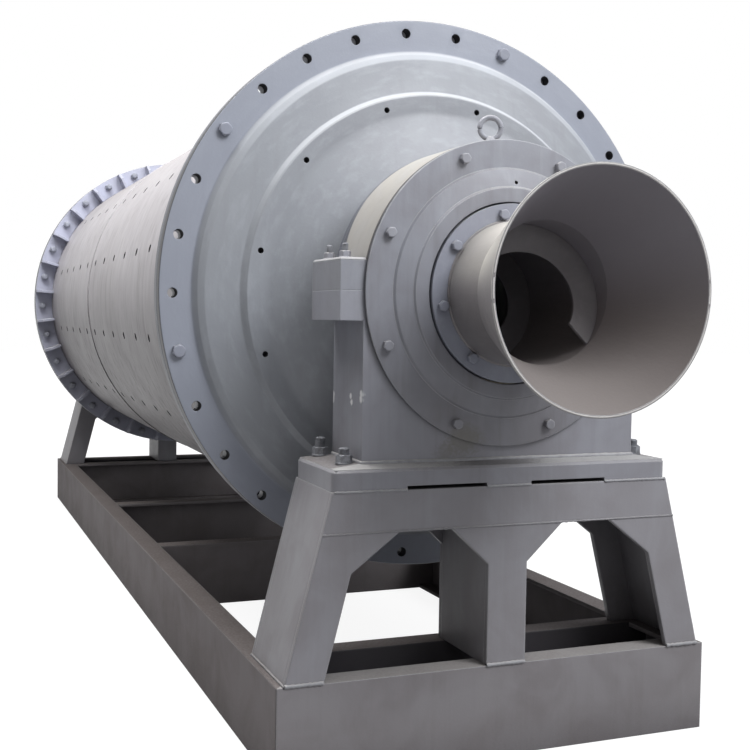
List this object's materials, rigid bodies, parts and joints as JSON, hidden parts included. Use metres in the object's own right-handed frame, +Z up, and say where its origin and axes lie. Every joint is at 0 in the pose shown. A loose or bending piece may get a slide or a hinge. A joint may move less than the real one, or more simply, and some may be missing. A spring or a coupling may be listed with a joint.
{
  "type": "ball mill",
  "caption": "Grinding ball mill: a steel shell with bolted ends turns on hollow trunnions in two bearings, on windowed box stands and a long channel frame, with a trumpet outlet.",
  "frame": {"origin": "on the floor, at the middle of the base frame", "axes": "+Z up; the mill axis along Y, with the trumpet outlet towards -Y and the feed end towards +Y"},
  "size_m": [1.38, 4.343, 1.718],
  "materials": {
    "shell_paint": "thin satin grey paint over rolled plate, brushed and streaked",
    "head_paint": "satin blue-grey paint over a casting",
    "flange_paint": "satin blue-grey paint",
    "trumpet_paint": "satin grey paint, worn on the rim",
    "bush_metal": "machined bearing metal",
    "bearing_paint": "satin blue-grey paint over a casting",
    "frame_paint": "satin grey paint, dusty on top",
    "stand_paint": "satin blue-grey paint over welded plate"
  },
  "bodies": {
    "stand": {"discharge_bearing_base": "bearing_paint", "discharge_bearing_cap": "bearing_paint", "discharge_bush": "bush_metal", "discharge_end_beam": "frame_paint", "discharge_front_plate": "stand_paint", "discharge_inner_cover": "bearing_paint", "discharge_middle_beam": "frame_paint", "discharge_outer_cover": "bearing_paint", "discharge_post_web_left": "stand_paint", "discharge_post_web_right": "stand_paint", "discharge_rear_plate": "stand_paint", "discharge_side_plate_left": "stand_paint", "discharge_side_plate_right": "stand_paint", "discharge_stand_beam": "frame_paint", "discharge_top_plate": "stand_paint", "feed_bearing_base": "bearing_paint", "feed_bearing_cap": "bearing_paint", "feed_bush": "bush_metal", "feed_end_beam": "frame_paint", "feed_front_plate": "stand_paint", "feed_inner_cover": "bearing_paint", "feed_middle_beam": "frame_paint", "feed_outer_cover": "bearing_paint", "feed_post_web_left": "stand_paint", "feed_post_web_right": "stand_paint", "feed_rear_plate": "stand_paint", "feed_side_plate_left": "stand_paint", "feed_side_plate_right": "stand_paint", "feed_stand_beam": "frame_paint", "feed_top_plate": "stand_paint", "side_beam_left": "frame_paint", "side_beam_right": "frame_paint"},
    "drum": {"discharge_flight": "trumpet_paint", "discharge_head": "head_paint", "discharge_shell_flange": "flange_paint", "discharge_trumpet": "trumpet_paint", "discharge_tube_flange": "flange_paint", "feed_head": "head_paint", "feed_inlet_tube": "trumpet_paint", "feed_shell_flange": "flange_paint", "feed_tube_flange": "flange_paint", "shell": "shell_paint"}
  },
  "joints": [
    {"name": "drum_spin", "type": "hinge", "parent": "stand", "child": "drum", "pos_m": [0, 0, 1.028], "axis": [0, 1, 0], "continuous": true}
  ]
}
